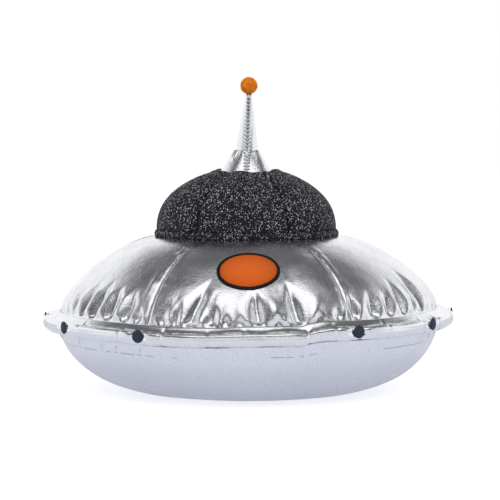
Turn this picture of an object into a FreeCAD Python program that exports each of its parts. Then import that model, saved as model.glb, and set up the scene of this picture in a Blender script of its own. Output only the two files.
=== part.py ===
"""Stuffed flying saucer cushion: a sewn, fibre-filled soft toy, modelled piece by piece.

The saucer is six foil-cloth gores over one round lower cover, joined by a padded rim band that is
tufted with cloth-covered buttons. A six-gore glitter dome with a rolled hem sits on top, and a
two-stage foil spire with a pompom stands in the dome's crown.
Units are millimetres. +Z is up, the front faces -Y, and the origin is the centre of the flat base.
"""

import FreeCAD, Part

import math
import os

from FreeCAD import Vector

# ---- cloth, gaps and the layout shared by saucer and dome ----
foil_cloth = 0.8
glitter_cloth = 1.0
lay_gap = 0.3
gore_names = ("front", "front_right", "back_right", "back", "back_left", "front_left")
profile_points = 12

# ---- rim: the widest line, where both covers meet behind the band ----
rim_radius = 200.0
rim_depth = 16.0
rim_plane_z = 72.0
seam_allowance = 4.0
band_top_rise = 8.6
band_shoulder_rise = 5.2
band_heel_drop = 6.4
band_bottom_drop = 9.0
band_fillet = 4.5

# ---- covers ----
base_radius = 90.0
lower_flare = 1.5
crown_rise = 90.0
flank_power = 2.4
crown_power = 1.65
seat_margin = 2.5
seat_blend = 10.0
seat_sink = 0.7
gore_eye_radius = 12.0

# ---- tufting buttons on the band ----
button_places = 12
button_diameter = 12.0
button_edge = 1.0
button_crown = 1.0
button_seat_gap = 0.1
dimple_radius = 9.0
dimple_depth = 4.5
shank_radius = 1.8
thread_radius = 0.6
thread_clearance = 0.25
knot_radius = 1.6

# ---- emblem patch on the front gore ----
emblem_drop = 8.0
emblem_half_width = 26.0
emblem_half_height = 22.0
emblem_border_width = 3.0
emblem_fill_thickness = 1.0
emblem_border_thickness = 1.5
patch_gap = 0.05

# ---- glitter dome ----
dome_radius = 87.5
dome_rise = 60.0
dome_power = 2.2
dome_foot_rise = 0.9
hem_radius = 4.2
hem_tuck = 1.8
lip_radius = 34.0
lip_curl = 3.0
lip_bulge = 0.8
lip_depth = 2.4

# ---- spire ----
collar_foot_radius = 26.0
collar_top_radius = 11.8
collar_length = 23.2
mast_foot_radius = 10.4
mast_tip_radius = 3.3
mast_length = 55.0
mast_tuck = 4.0
stitch_pitch = 3.6
stitch_length = 2.6
stitch_radius = 0.45
stitch_lean = 35.0
stitch_lift = 0.15

# ---- pompom ----
pompom_radius = 7.8
tie_radius = 0.6
tie_reach = 3.5

# ---- places that follow from the sizes above ----
AXIS = Vector(0, 0, 1)
OUTWARDS = Vector(1, 0, 0)
ORIGIN = Vector(0, 0, 0)
FRONT_DEG = -90.0
GORE_DEG = 360.0 / len(gore_names)
PUNCH_MARGIN = 2.0
upper_reach = rim_radius - rim_depth
lower_reach = upper_reach + lower_flare
band_top_z = rim_plane_z + band_top_rise
band_bottom_z = rim_plane_z - band_bottom_drop
dome_seat_radius = dome_radius + seat_margin


def upper_height(radius):
    share = 1 - (radius / upper_reach) ** flank_power
    return rim_plane_z + crown_rise * share ** (1 / crown_power)


def upper_radius(height):
    share = 1 - ((height - rim_plane_z) / crown_rise) ** crown_power
    return upper_reach * share ** (1 / flank_power)


def lower_turn(height):
    """The lower cover is a quarter ellipse: turn 0 is the rim and 90 degrees is the base's edge."""
    return math.asin(1 - height / rim_plane_z)


def lower_point(turn):
    reach = base_radius + (lower_reach - base_radius) * math.cos(turn)
    return (reach, rim_plane_z * (1 - math.sin(turn)))


dome_seat_z = upper_height(dome_seat_radius + seat_blend) - seat_sink
hem_centre = (dome_radius - hem_tuck, dome_seat_z + lay_gap + hem_radius)
dome_plane_z = hem_centre[1] + hem_radius + lay_gap - dome_foot_rise


def dome_height(radius):
    share = 1 - (radius / dome_radius) ** 2
    return dome_plane_z + dome_rise * share ** (1 / dome_power)


spire_seat_z = dome_height(lip_radius) - lip_depth
collar_top_z = spire_seat_z + collar_length
mast_tip_z = collar_top_z + mast_length


# ---- outer lines, as (radius, height) points ordered from the axis outwards ----
def spread(first, last):
    """Evenly spaced numbers from first to last."""
    return [first + (last - first) * k / (profile_points - 1) for k in range(profile_points)]


def upper_profile():
    """The gores' outer line, from the dome's seat to the edge tucked in behind the band."""
    tuck_radius = upper_radius(band_top_z - seam_allowance)
    first = math.asin((dome_seat_radius + seat_blend) / upper_reach)
    last = math.asin(tuck_radius / upper_reach)
    radii = [upper_reach * math.sin(turn) for turn in spread(first, last)]
    return [(dome_seat_radius, dome_seat_z)] + [(r, upper_height(r)) for r in radii]


def lower_profile():
    """The lower cover's outer line, from the base's edge to the edge tucked in behind the band."""
    tuck_turn = lower_turn(band_bottom_z + seam_allowance)
    return [lower_point(turn) for turn in spread(math.pi / 2, tuck_turn)]


def dome_profile():
    """The dome's outer line, from the curled lip round the spire down to its foot in the hem."""
    curl = collar_foot_radius + glitter_cloth + lay_gap
    crest = dome_height(lip_radius) + lip_bulge
    foot_share = (dome_foot_rise / dome_rise) ** dome_power
    foot_radius = dome_radius * math.sqrt(1 - foot_share)
    turns = spread(math.asin(lip_radius / dome_radius), math.asin(foot_radius / dome_radius))
    radii = [dome_radius * math.sin(turn) for turn in turns]
    lip = [(curl, crest - lip_depth), (curl + lip_curl, crest)]
    return lip + [(r, dome_height(r)) for r in radii]


# ---- helpers ----
def at(point):
    return Vector(point[0], 0, point[1])


def offset(points, distance):
    """The line moved to its right, which is inwards for a line that runs outwards over the top."""
    moved = []
    for index, (radius, height) in enumerate(points):
        before = points[max(index - 1, 0)]
        after = points[min(index + 1, len(points) - 1)]
        run, rise = after[0] - before[0], after[1] - before[1]
        length = math.hypot(run, rise)
        moved.append((radius + distance * rise / length, height - distance * run / length))
    return moved


def upper_line(depth):
    """The gores' line at a depth under their outside, level where it reaches the dome's seat."""
    return [(dome_seat_radius, dome_seat_z - depth)] + offset(upper_profile(), depth)[1:]


def lower_line(depth):
    """The lower cover's line at a depth inside its outside, level where it reaches the base."""
    return [(base_radius, depth)] + offset(lower_profile(), -depth)[1:]


def spline(points):
    curve = Part.BSplineCurve()
    curve.interpolate([at(point) for point in points])
    return curve.toShape()


def line(start, end):
    return Part.makeLine(at(start), at(end))


def chain(points):
    return [line(start, end) for start, end in zip(points, points[1:])]


def spin(edges, degrees=360.0):
    """The closed outline that the edges make, turned round the axis."""
    return Part.Face(Part.Wire(Part.sortEdges(edges)[0])).revolve(ORIGIN, AXIS, degrees)


def layer(outer, inner, hub_radius, degrees=360.0):
    """What lies between two lines, with level stretches that run in to the hub's radius."""
    hub = [(hub_radius, outer[0][1]), (hub_radius, inner[0][1])]
    hub_side = chain([outer[0], hub[0], hub[1], inner[0]])
    return spin(hub_side + [spline(outer), line(outer[-1], inner[-1]), spline(inner)], degrees)


def turned(shape, degrees):
    copy = shape.copy()
    copy.rotate(ORIGIN, AXIS, degrees)
    return copy


def save(name, *solids):
    shape = solids[0] if len(solids) == 1 else Part.makeCompound(list(solids))
    if len(shape.Solids) == 1:
        shape = shape.Solids[0]
    shape.exportStep(os.path.join("parts", name + ".step"))
    print(f"{name}: {len(shape.Solids)} solid(s), valid {shape.isValid()}, {shape.Volume / 1000:.2f} cm3")


def save_gores(prefix, gore):
    """Six copies of a gore that starts on +X, with the first one centred on the front."""
    for index, name in enumerate(gore_names):
        save(prefix + name, turned(gore, FRONT_DEG + GORE_DEG * (index - 0.5)))


# ---- saucer ----
def upper_gores():
    gore = layer(upper_line(0), upper_line(foil_cloth), gore_eye_radius, GORE_DEG)
    save_gores("upper_gore_", gore)


def lower_cover():
    save("lower_cover", layer(lower_line(0), lower_line(foil_cloth), 0))


def saucer_stuffing():
    depth = foil_cloth + lay_gap
    save("saucer_stuffing", layer(upper_line(depth), lower_line(depth), 0))


# ---- rim band ----
def band_corners():
    """The band's outline: its upper seam, shoulder, heel and lower seam."""
    top_radius = upper_radius(band_top_z - foil_cloth) + lay_gap
    bottom_radius = lower_point(lower_turn(band_bottom_z + foil_cloth))[0] + lay_gap
    return [
        (top_radius, band_top_z),
        (rim_radius, rim_plane_z + band_shoulder_rise),
        (rim_radius, rim_plane_z - band_heel_drop),
        (bottom_radius, band_bottom_z),
    ]


def meet(first, second):
    """Where two lines meet, each given by two points."""
    (a, b), (c, d) = first, second
    run_a, rise_a = b[0] - a[0], b[1] - a[1]
    run_b, rise_b = d[0] - c[0], d[1] - c[1]
    share = ((c[0] - a[0]) * rise_b - (c[1] - a[1]) * run_b) / (run_a * rise_b - rise_a * run_b)
    return (a[0] + share * run_a, a[1] + share * rise_a)


def round_corner(before, corner, after, radius):
    """Where a corner's rounding starts and ends, and its arc."""
    towards, away = (before - corner).normalize(), (after - corner).normalize()
    half_angle = towards.getAngle(away) / 2
    start = corner + towards * (radius / math.tan(half_angle))
    end = corner + away * (radius / math.tan(half_angle))
    crest = corner + (towards + away).normalize() * (radius / math.sin(half_angle) - radius)
    return start, end, Part.Arc(start, crest, end).toShape()


def band_body(depth, back_radius):
    """The band's outline taken in by a depth, as a filled ring closed at the back radius."""
    corners = band_corners()
    top, outside, under = [offset(pair, depth) for pair in zip(corners, corners[1:])]
    back = [(back_radius, 0), (back_radius, 1)]
    meetings = [meet(back, top), meet(top, outside), meet(outside, under), meet(under, back)]
    seam_top, shoulder, heel, seam_bottom = [at(point) for point in meetings]
    radius = band_fillet - depth
    shoulder_start, shoulder_end, shoulder_arc = round_corner(seam_top, shoulder, heel, radius)
    heel_start, heel_end, heel_arc = round_corner(shoulder, heel, seam_bottom, radius)
    straights = [
        Part.makeLine(seam_top, shoulder_start),
        Part.makeLine(shoulder_end, heel_start),
        Part.makeLine(heel_end, seam_bottom),
        Part.makeLine(seam_bottom, seam_top),
    ]
    return spin(straights + [shoulder_arc, heel_arc])


def button_z():
    return rim_plane_z + (band_shoulder_rise - band_heel_drop) / 2


def round_buttons(shape):
    """A copy at each button place; the front place stays free, where the band's ends are joined."""
    step = 360.0 / button_places
    return [turned(shape, FRONT_DEG + step * k) for k in range(1, button_places)]


def dimple_centre():
    return rim_radius - dimple_depth + dimple_radius


def dimples(growth):
    """The hollows that the buttons pull into the band, grown by what lies between."""
    ball = Part.makeSphere(dimple_radius + growth, Vector(dimple_centre(), 0, button_z()))
    return round_buttons(ball)


def rod(radius, start, end):
    """A round bar that points outwards at button height, between two distances from the axis."""
    return Part.makeCylinder(radius, end - start, Vector(start, 0, button_z()), OUTWARDS)


def foam_back():
    return lower_reach + lay_gap


def thread_holes():
    return round_buttons(rod(thread_radius + thread_clearance, foam_back() - PUNCH_MARGIN, rim_radius))


def rim_band():
    corners = band_corners()
    top_radius, bottom_radius = corners[0][0], corners[3][0]
    inside = Part.makeCylinder(bottom_radius, rim_plane_z)
    outer = band_body(0, top_radius).cut(inside).cut(dimples(0))
    hollow = band_body(foil_cloth, top_radius - PUNCH_MARGIN).cut(dimples(foil_cloth))
    save("rim_band", outer.cut(hollow).cut(thread_holes()))


def rim_foam_ring():
    depth = foil_cloth + lay_gap
    pocket_end = foam_back() + 2 * (knot_radius + lay_gap)
    pocket = rod(knot_radius + lay_gap, foam_back() - PUNCH_MARGIN, pocket_end)
    foam = band_body(depth, foam_back()).cut(dimples(depth))
    save("rim_foam_ring", foam.cut(thread_holes()).cut(round_buttons(pocket)))


def button_back():
    """The distance from the axis at which a button's flat back bridges its dimple."""
    half = button_diameter / 2
    return dimple_centre() - math.sqrt(dimple_radius**2 - half**2) + button_seat_gap


def buttons():
    """Cloth-covered buttons: a short straight edge under a shallow round crown."""
    half = button_diameter / 2
    top = button_edge + button_crown
    ball_radius = (half**2 + button_crown**2) / (2 * button_crown)
    turn = math.asin(half / ball_radius) / 2
    halfway = (ball_radius * math.sin(turn), top - ball_radius * (1 - math.cos(turn)))
    crown = Part.Arc(at((half, button_edge)), at(halfway), at((0, top))).toShape()
    button = spin([crown] + chain([(0, top), (0, 0), (half, 0), (half, button_edge)]))
    button.rotate(ORIGIN, Vector(0, 1, 0), 90)
    button.translate(Vector(button_back(), 0, button_z()))
    for number, placed in enumerate(round_buttons(button), 1):
        save(f"rim_button_{number:02d}", placed)


def button_ties():
    """A shank on each button's back, and a thread from it to a knot sunk in the foam."""
    shank_foot = rim_radius - dimple_depth + lay_gap
    knot_place = foam_back() + knot_radius + lay_gap
    reach = shank_foot - knot_place
    neck = math.sqrt(knot_radius**2 - thread_radius**2)
    knot = Part.Arc(at((0, -knot_radius)), at((knot_radius, 0)), at((thread_radius, neck))).toShape()
    tie = spin([knot] + chain([(thread_radius, neck), (thread_radius, reach), (0, reach), (0, -knot_radius)]))
    tie.rotate(ORIGIN, Vector(0, 1, 0), 90)
    tie.translate(Vector(knot_place, 0, button_z()))
    save("rim_button_shanks", *round_buttons(rod(shank_radius, shank_foot, button_back())))
    save("rim_button_ties", *round_buttons(tie))


# ---- emblem ----
def emblem_radius():
    return (dome_seat_radius + upper_reach) / 2 + emblem_drop


def skin_layer(thickness):
    """A layer that stands on the front gore, a hair clear of it."""
    flank = upper_profile()[1:]
    low, high = offset(flank, -patch_gap), offset(flank, -patch_gap - thickness)
    edges = [spline(low), line(low[-1], high[-1]), spline(high), line(high[0], low[0])]
    return turned(spin(edges, GORE_DEG), FRONT_DEG - GORE_DEG / 2)


def emblem_punch(growth):
    """An elliptic punch that stands square to the gore at the emblem's centre."""
    radius = emblem_radius()
    slope = math.degrees(math.atan(upper_height(radius - 0.5) - upper_height(radius + 0.5)))
    reach = emblem_half_width
    ellipse = Part.Ellipse(ORIGIN, emblem_half_width + growth, emblem_half_height + growth)
    punch = Part.Face(Part.Wire([ellipse.toShape()])).extrude(AXIS * 2 * reach)
    punch.translate(AXIS * -reach)
    punch.rotate(ORIGIN, OUTWARDS, slope)
    punch.translate(Vector(0, -radius, upper_height(radius)))
    return punch


def emblem():
    ring = emblem_punch(emblem_border_width).cut(emblem_punch(patch_gap))
    save("emblem_fill", skin_layer(emblem_fill_thickness).common(emblem_punch(0)))
    save("emblem_border", skin_layer(emblem_border_thickness).common(ring))


# ---- dome ----
def dome_gores():
    outer = dome_profile()
    inner = offset(outer, glitter_cloth)
    edges = [spline(outer), line(outer[-1], inner[-1]), spline(inner), line(inner[0], outer[0])]
    save_gores("dome_gore_", spin(edges, GORE_DEG))


def hem_ring(radius):
    return Part.makeTorus(hem_centre[0], radius, AXIS * hem_centre[1], AXIS)


def dome_hem():
    """The dome's edge is rolled round a cord."""
    bore = hem_radius - glitter_cloth
    save("dome_hem_roll", hem_ring(hem_radius).cut(hem_ring(bore)))
    save("dome_hem_cord", hem_ring(bore - lay_gap))


def dome_stuffing():
    """The dome's filling: narrow inside the hem, and full under the gores."""
    waist_radius = hem_centre[0] - hem_radius - lay_gap
    waist_z = hem_centre[1] + hem_radius + lay_gap
    crown = [
        (radius, height)
        for radius, height in offset(dome_profile(), glitter_cloth + lay_gap)
        if radius > lip_radius - lip_curl and height > waist_z
    ]
    outline = chain([
        crown[-1],
        (crown[-1][0], waist_z),
        (waist_radius, waist_z),
        (waist_radius, dome_seat_z + lay_gap),
        (0, dome_seat_z + lay_gap),
        (0, spire_seat_z - lay_gap),
        (crown[0][0], spire_seat_z - lay_gap),
        crown[0],
    ])
    save("dome_stuffing", spin([spline(crown)] + outline))


# ---- spire ----
def collar_radius(height):
    share = (height - spire_seat_z) / collar_length
    return collar_foot_radius + (collar_top_radius - collar_foot_radius) * share


def mast_radius(height):
    share = (height - collar_top_z) / mast_length
    return mast_foot_radius + (mast_tip_radius - mast_foot_radius) * share


def cone(radius_at, inset, low_z, high_z):
    """A tapered solid between two heights, inset from the radius that radius_at gives."""
    low, high = radius_at(low_z) - inset, radius_at(high_z) - inset
    return Part.makeCone(low, high, high_z - low_z, AXIS * low_z)


def sleeve(radius_at, low_z, high_z):
    return cone(radius_at, 0, low_z, high_z).cut(cone(radius_at, foil_cloth, low_z, high_z))


def spire():
    mast_foot_z = collar_top_z - mast_tuck
    core_top_z = mast_tip_z - lay_gap
    depth = foil_cloth + lay_gap
    save("spire_collar", sleeve(collar_radius, spire_seat_z, collar_top_z))
    save("spire_collar_stuffing", cone(collar_radius, depth, spire_seat_z, mast_foot_z - lay_gap))
    save("spire_mast_sleeve", sleeve(mast_radius, mast_foot_z, mast_tip_z))
    core = cone(mast_radius, depth, mast_foot_z, core_top_z)
    save("spire_mast_core", core.cut(tie_hole(core_top_z - tie_reach - lay_gap, mast_tip_z)))


def stitches(radius_at, low_z, high_z):
    """Two rows of slanting stitches that close a tapered sleeve down its front."""
    flare = math.degrees(math.atan((radius_at(low_z) - radius_at(high_z)) / (high_z - low_z)))
    pitch = stitch_pitch * math.cos(math.radians(flare))
    side = stitch_radius + stitch_length / 2 * math.sin(math.radians(stitch_lean)) + stitch_lift
    made = []
    for row in (-1, 1):
        stitch = Part.makeCylinder(stitch_radius, stitch_length, AXIS * (-stitch_length / 2))
        stitch.rotate(ORIGIN, Vector(0, 1, 0), stitch_lean * row)
        stitch.rotate(ORIGIN, OUTWARDS, -flare)
        for step in range(int((high_z - low_z) / pitch)):
            height = low_z + pitch * (step + 0.5)
            front = radius_at(height) + (stitch_radius + stitch_lift) / math.cos(math.radians(flare))
            placed = stitch.copy()
            placed.translate(Vector(side * row, -front, height))
            made.append(placed)
    return made


def spire_seam():
    """The rows keep clear of the dome's lip, of the collar's rim and of the pompom."""
    collar = stitches(collar_radius, spire_seat_z + lip_depth + stitch_radius, collar_top_z)
    mast = stitches(mast_radius, collar_top_z + stitch_radius, mast_tip_z - stitch_radius)
    save("spire_seam_stitches", *collar, *mast)


# ---- pompom ----
def tie_hole(low_z, high_z):
    return Part.makeCylinder(tie_radius + thread_clearance, high_z - low_z, AXIS * low_z)


def pompom():
    """The pompom sits on the mast's tip, on a tie that runs down into the mast's core."""
    centre_z = mast_tip_z + lay_gap + pompom_radius
    tie_foot_z = mast_tip_z - lay_gap - tie_reach
    ball = Part.makeSphere(pompom_radius, AXIS * centre_z)
    save("pompom", ball.cut(tie_hole(mast_tip_z, centre_z + lay_gap)))
    save("pompom_tie", Part.makeCylinder(tie_radius, centre_z - tie_foot_z, AXIS * tie_foot_z))


def main():
    os.makedirs("parts", exist_ok=True)
    upper_gores()
    lower_cover()
    saucer_stuffing()
    rim_band()
    rim_foam_ring()
    buttons()
    button_ties()
    emblem()
    dome_gores()
    dome_hem()
    dome_stuffing()
    spire()
    spire_seam()
    pompom()


main()
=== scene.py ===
"""The looks of a stuffed flying saucer toy: gathered foil covers, a padded rim band with tufting
buttons, a glitter dome and a hand-stitched foil spire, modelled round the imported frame.

Every piece is in metres, in the frame's own axes: +Z is up and the front faces -Y. A bearing is an
angle round the spire, counted from the front and positive towards +X.
"""

import math

import bmesh
import bpy
import numpy as np
from mathutils import Matrix, Vector
from mathutils.bvhtree import BVHTree


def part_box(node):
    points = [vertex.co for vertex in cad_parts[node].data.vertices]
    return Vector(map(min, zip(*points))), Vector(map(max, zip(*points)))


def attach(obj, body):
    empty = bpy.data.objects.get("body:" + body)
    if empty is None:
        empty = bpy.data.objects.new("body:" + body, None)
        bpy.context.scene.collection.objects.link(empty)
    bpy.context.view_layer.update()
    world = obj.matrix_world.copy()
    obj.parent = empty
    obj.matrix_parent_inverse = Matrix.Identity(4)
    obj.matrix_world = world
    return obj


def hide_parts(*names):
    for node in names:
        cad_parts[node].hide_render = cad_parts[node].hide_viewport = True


bl_info = {
    "name": "Flying saucer soft toy",
    "version": (1, 0, 0),
    "blender": (4, 5, 0),
    "location": "View3D > Sidebar > Saucer",
    "description": "Builds a stuffed flying saucer from sewn foil and glitter cloth",
    "category": "Object",
}

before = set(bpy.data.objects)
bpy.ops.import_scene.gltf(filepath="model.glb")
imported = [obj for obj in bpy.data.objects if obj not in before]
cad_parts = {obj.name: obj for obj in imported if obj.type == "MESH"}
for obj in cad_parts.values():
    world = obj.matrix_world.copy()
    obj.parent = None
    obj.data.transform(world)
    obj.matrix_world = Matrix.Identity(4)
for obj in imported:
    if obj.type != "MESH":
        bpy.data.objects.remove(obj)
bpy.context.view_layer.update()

MM = 0.001
UP = Vector((0, 0, 1))
FRONT = -math.pi / 2
GORE_NAMES = ("front", "front_right", "back_right", "back", "back_left", "front_left")
GORE_TURN = math.tau / len(GORE_NAMES)

# ---- places read from the frame ----
BAND_LOW, BAND_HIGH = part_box("rim_band")
BASE_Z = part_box("lower_cover")[0].z
RIM_RADIUS = BAND_HIGH.x
RIM_Z = (BAND_LOW.z + BAND_HIGH.z) / 2
GORE_LOW, GORE_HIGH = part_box("upper_gore_front")
COVER_REACH = -GORE_LOW.y
HEM_LOW, HEM_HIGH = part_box("dome_hem_roll")
HEM_RADIUS = (HEM_HIGH.z - HEM_LOW.z) / 2
HEM_CENTRE = (HEM_HIGH.x - HEM_RADIUS, HEM_LOW.z + HEM_RADIUS)
DOME_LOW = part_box("dome_gore_front")[0]
BUTTON_LOW, BUTTON_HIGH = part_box("rim_button_03")
COLLAR_LOW, COLLAR_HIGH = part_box("spire_collar")
MAST_LOW, MAST_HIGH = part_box("spire_mast_sleeve")
POMPOM_LOW, POMPOM_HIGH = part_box("pompom")
BUTTON_NODES = sorted(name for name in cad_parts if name[:-2] == "rim_button_")
BUTTON_TURN = math.tau / (len(BUTTON_NODES) + 1)


# ================================================================ settings
def length_setting(name, description, default, most, least=0.0):
    return bpy.props.FloatProperty(name=name, description=description, default=default, min=least, max=most,
                                   unit="LENGTH")


def colour_setting(name, description, default):
    return bpy.props.FloatVectorProperty(name=name, description=description, default=default, min=0, max=1,
                                         size=3, subtype="COLOR")


class SaucerSizes(bpy.types.PropertyGroup):
    """Sizes that a maker would change."""

    gather_depth: length_setting("Gather depth", "How deep the deepest gathers at the rim are",
                                 6.2 * MM, 8 * MM)
    rim_puff: length_setting("Rim puff", "How far the top cover swells between its gathers", 1.0 * MM, 6 * MM)
    seam_depth: length_setting("Seam depth", "How deep the seams between the gores are", 1.5 * MM, 4 * MM)
    rim_waver: bpy.props.FloatProperty(
        name="Rim waver", description="How much of its full rise and fall the soft rim has",
        default=1.0, min=0, max=1.5, subtype="FACTOR")
    foil_thickness: length_setting("Foil cloth", "Thickness of the foil cloth", 0.8 * MM, 2 * MM, 0.3 * MM)
    glitter_thickness: length_setting("Glitter cloth", "Thickness of the glitter cloth",
                                      1.0 * MM, 2 * MM, 0.3 * MM)
    tuft_length: length_setting("Pompom pile", "Length of the pompom's loose fibres",
                                1.7 * MM, 4 * MM, 0.5 * MM)


class SaucerColours(bpy.types.PropertyGroup):
    """Colours of the cloths, threads and pile."""

    foil: colour_setting("Foil", "Metal foil on the covers and the spire", (0.83, 0.84, 0.87))
    glitter_ground: colour_setting("Glitter ground", "Dark cloth under the glitter", (0.010, 0.010, 0.015))
    # painted glint: the flecks' colour is near white, standing in for light caught by the glitter's metal
    # flakes
    fleck_glint: colour_setting("Glitter fleck", "Flecks on the dome's cloth", (0.86, 0.88, 0.93))
    button: colour_setting("Button", "Cloth on the rim's buttons", (0.028, 0.043, 0.068))
    pile: colour_setting("Pompom", "Pile of the pompom", (1.0, 0.38, 0.014))
    patch: colour_setting("Patch", "Thread that fills the emblem patch", (0.95, 0.165, 0.012))
    border: colour_setting("Patch border", "Thread round the emblem patch", (0.006, 0.006, 0.007))


def sizes():
    return bpy.context.scene.saucer_sizes


def colours():
    return bpy.context.scene.saucer_colours


# ================================================================ finishes
WAVE_PITCH = 0.31  # a wave texture's scale, times the distance from one band to the next


class Nodes:
    """A node tree, with short calls to add and join its nodes."""

    def __init__(self, tree):
        self.tree = tree

    def add(self, kind, settings=(), **inputs):
        node = self.tree.nodes.new(kind)
        for key, value in dict(settings).items():
            setattr(node, key, value)
        for key, value in inputs.items():
            self.set(node.inputs[key.replace("_", " ")], value)
        return node

    def set(self, socket, value):
        if isinstance(value, bpy.types.NodeSocket):
            self.tree.links.new(value, socket)
        elif socket.type == "RGBA" and len(value) == 3:
            socket.default_value = (*value, 1)
        else:
            socket.default_value = value

    def maths(self, operation, first, second=0.0):
        node = self.add("ShaderNodeMath", {"operation": operation})
        self.set(node.inputs[0], first)
        self.set(node.inputs[1], second)
        return node.outputs[0]

    def between(self, value, low, high, low_out=0.0, high_out=1.0):
        """The value's place between low and high, as a smooth number."""
        node = self.add("ShaderNodeMapRange", {"interpolation_type": "SMOOTHSTEP"})
        limits = {"From Min": low, "From Max": high, "To Min": low_out, "To Max": high_out}
        for key, number in limits.items():
            node.inputs[key].default_value = number
        self.set(node.inputs["Value"], value)
        return node.outputs["Result"]

    def mix(self, share, first, second):
        node = self.add("ShaderNodeMix", {"data_type": "RGBA"})
        self.set(node.inputs["Factor"], share)
        self.set(node.inputs[6], first)
        self.set(node.inputs[7], second)
        return node.outputs[2]


class Finish(Nodes):
    """A material under construction. Its patterns lie on Object coordinates."""

    def __init__(self, name):
        self.material = bpy.data.materials.new(name)
        self.material.use_nodes = True
        super().__init__(self.material.node_tree)
        self.shader = self.tree.nodes["Principled BSDF"]
        self.coords = self.add("ShaderNodeTexCoord").outputs["Object"]

    def surface(self, **inputs):
        for key, value in inputs.items():
            self.set(self.shader.inputs[key.replace("_", " ")], value)

    def noise(self, size, detail=2.0, stretch=None):
        """Smooth noise with features of about the given size in metres."""
        vector = self.coords
        if stretch:
            vector = self.add("ShaderNodeMapping", Vector=vector, Scale=stretch).outputs["Vector"]
        return self.add("ShaderNodeTexNoise", Vector=vector, Scale=1 / size, Detail=detail).outputs["Fac"]

    def cells(self, size):
        """Distance from the middle of round cells of about the given size."""
        node = self.add("ShaderNodeTexVoronoi", {"feature": "F1"}, Vector=self.coords, Scale=1 / size)
        return node.outputs["Distance"]

    def flecks(self, size, width, rarity, turn, thin):
        """Small bright flecks, a little longer one way: 1 in the flecks and 0 between them."""
        lie = self.add("ShaderNodeMapping", Vector=self.coords, Rotation=turn, Scale=(1, 1, thin))
        cells = self.add("ShaderNodeTexVoronoi", {"feature": "F1"}, Vector=lie.outputs[0], Scale=1 / size)
        dash = self.between(cells.outputs["Distance"], width * 0.6, width, 1.0, 0.0)
        chance = self.add("ShaderNodeSeparateColor", Color=cells.outputs["Color"]).outputs[0]
        return self.maths("MULTIPLY", dash, self.between(chance, rarity, rarity + 0.16))

    def bump(self, height, depth, under=None):
        node = self.add("ShaderNodeBump", Height=height, Distance=depth, Strength=1.0)
        if under is not None:
            self.set(node.inputs["Normal"], under)
        return node.outputs["Normal"]


def foil_finish(name, roughness=0.22, dents=0.2, tint=(1, 1, 1), grain_depth=1.0):
    """Metal foil on knitted cloth: a fine grain, soft dents and patches that are duller. The colour is darker
    where the grain's bump lies low, a painted shade in its pits.
    """
    finish = Finish(name)
    grain = finish.noise(1.25 * MM, 2)
    pebble = finish.cells(1.7 * MM)
    normal = finish.bump(finish.noise(9 * MM, 1), dents * MM)
    normal = finish.bump(pebble, 0.06 * MM * grain_depth, normal)
    normal = finish.bump(grain, 0.2 * MM * grain_depth, normal)
    dull = finish.between(finish.noise(22 * MM, 2), 0.35, 0.7, roughness - 0.03, roughness + 0.07)
    colour = Vector([shade * part for shade, part in zip(colours().foil, tint)])
    # painted shade: the foil's colour is darker in the grain's pits, where its bump lies low
    pit_shaded_colour = finish.mix(finish.between(grain, 0.3, 0.7), tuple(colour * 0.88), tuple(colour))
    finish.surface(Base_Color=pit_shaded_colour, Metallic=1.0, Roughness=dull, Normal=normal)
    return finish.material


def glitter_finish(name):
    """Dark knitted cloth with flecks of four sizes, turned every way; the flecks are real, but they are
    painted near white in the colour, a painted glint of their metal flakes.
    """
    finish = Finish(name)
    ground, fleck = Vector(colours().glitter_ground), tuple(colours().fleck_glint)
    share = finish.flecks(1.7 * MM, 0.29, 0.72, (0.5, 0.9, 0.2), 0.85)
    for size, width, rarity, turn, thin in (
            (1.45 * MM, 0.29, 0.72, (1.9, 0.3, 1.1), 0.85),
            (1.05 * MM, 0.34, 0.62, (0.2, 2.3, 0.7), 0.9),
            (2.7 * MM, 0.22, 0.62, (1.2, 1.4, 2.6), 0.8)):
        share = finish.maths("MAXIMUM", share, finish.flecks(size, width, rarity, turn, thin))
    knit = finish.between(finish.noise(0.6 * MM), 0.3, 0.7)
    cloth = finish.mix(knit, tuple(ground * 0.6), tuple(ground * 1.9))
    normal = finish.bump(finish.noise(0.8 * MM, 3), 0.15 * MM)
    normal = finish.bump(share, 0.12 * MM, normal)
    # painted glint: the glitter's metal flakes are near-white specks in the base colour, standing in for the
    # light that they catch
    finish.surface(Base_Color=finish.mix(share, cloth, fleck), Metallic=0.0, Normal=normal)
    finish.surface(Specular_IOR_Level=0.2, Roughness=finish.between(share, 0.0, 1.0, 0.8, 0.4))
    return finish.material


def woven_finish(name, colour, pitch):
    """Plain woven cloth: crossed threads that stand a little proud, with painted highlight on the threads'
    tops and painted shade in the gaps between them.
    """
    finish = Finish(name)
    mapping = finish.add("ShaderNodeMapping", Vector=finish.coords, Rotation=(0.6, 0.4, 0.7))
    threads = []
    for direction in ("X", "Z"):
        wave = finish.add("ShaderNodeTexWave", {"wave_type": "BANDS", "bands_direction": direction},
                          Vector=mapping.outputs["Vector"], Scale=WAVE_PITCH / pitch, Distortion=0.6)
        threads.append(wave.outputs["Fac"])
    weave = finish.maths("MULTIPLY", threads[0], threads[1])
    tint = Vector(colour)
    # painted highlight and shade: the colour is lighter where the weave stands high and darker in its gaps
    shade = finish.mix(finish.between(weave, 0.0, 0.8), tuple(tint * 0.6), tuple(tint * 1.7))
    normal = finish.bump(weave, 0.12 * MM)
    finish.surface(Base_Color=shade, Roughness=0.8, Normal=normal, Sheen_Weight=0.1, Specular_IOR_Level=0.25)
    return finish.material


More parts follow.
